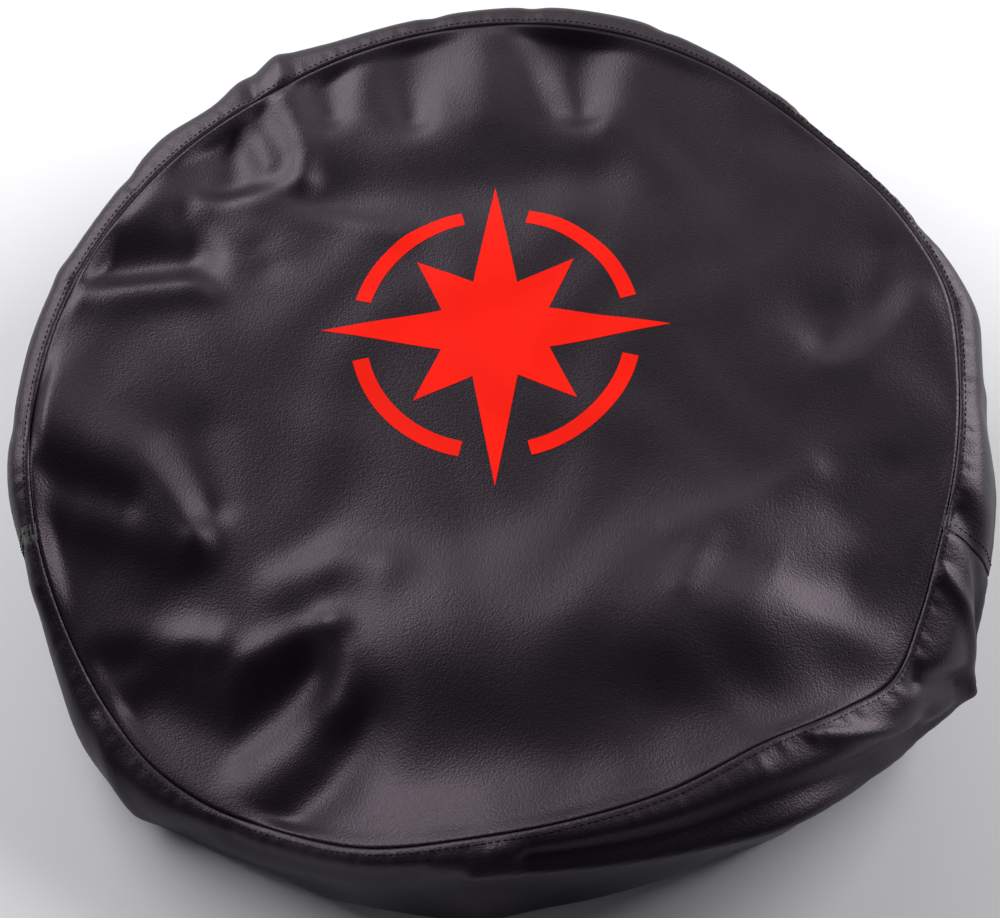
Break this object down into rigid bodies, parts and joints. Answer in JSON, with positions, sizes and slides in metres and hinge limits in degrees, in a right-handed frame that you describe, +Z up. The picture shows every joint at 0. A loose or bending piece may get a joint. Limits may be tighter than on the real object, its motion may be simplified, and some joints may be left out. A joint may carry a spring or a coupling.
{
  "type": "spare tire cover",
  "caption": "Round soft leatherette cover for a spare wheel: a face panel sewn to a gusset band that turns under into an elastic hem, with a compass emblem in film on the face.",
  "frame": {"origin": "on the floor at the middle of the cover, which lies face up on its hem", "axes": "+Z up out of the face, +Y towards the top of the emblem, +X to the emblem's right"},
  "size_m": [0.59, 0.59, 0.1186],
  "materials": {
    "leatherette": "semi-matt, fine pebble grain",
    "film": "smooth satin",
    "thread": "twisted polyester",
    "elastic": "knitted, matt"
  },
  "bodies": {
    "root": {"face_panel": "leatherette", "gusset_upper": "leatherette", "gusset_lower": "leatherette", "emblem_star": "film", "emblem_ring": "film", "face_seam_thread": "thread", "face_topstitch_needle_thread": "thread", "face_topstitch_bobbin_thread": "thread", "join_left_needle_thread": "thread", "join_left_bobbin_thread": "thread", "join_right_needle_thread": "thread", "join_right_bobbin_thread": "thread", "hem_needle_thread": "thread", "hem_bobbin_thread": "thread", "elastic_tack_thread": "thread", "elastic_band": "elastic"}
  },
  "joints": []
}
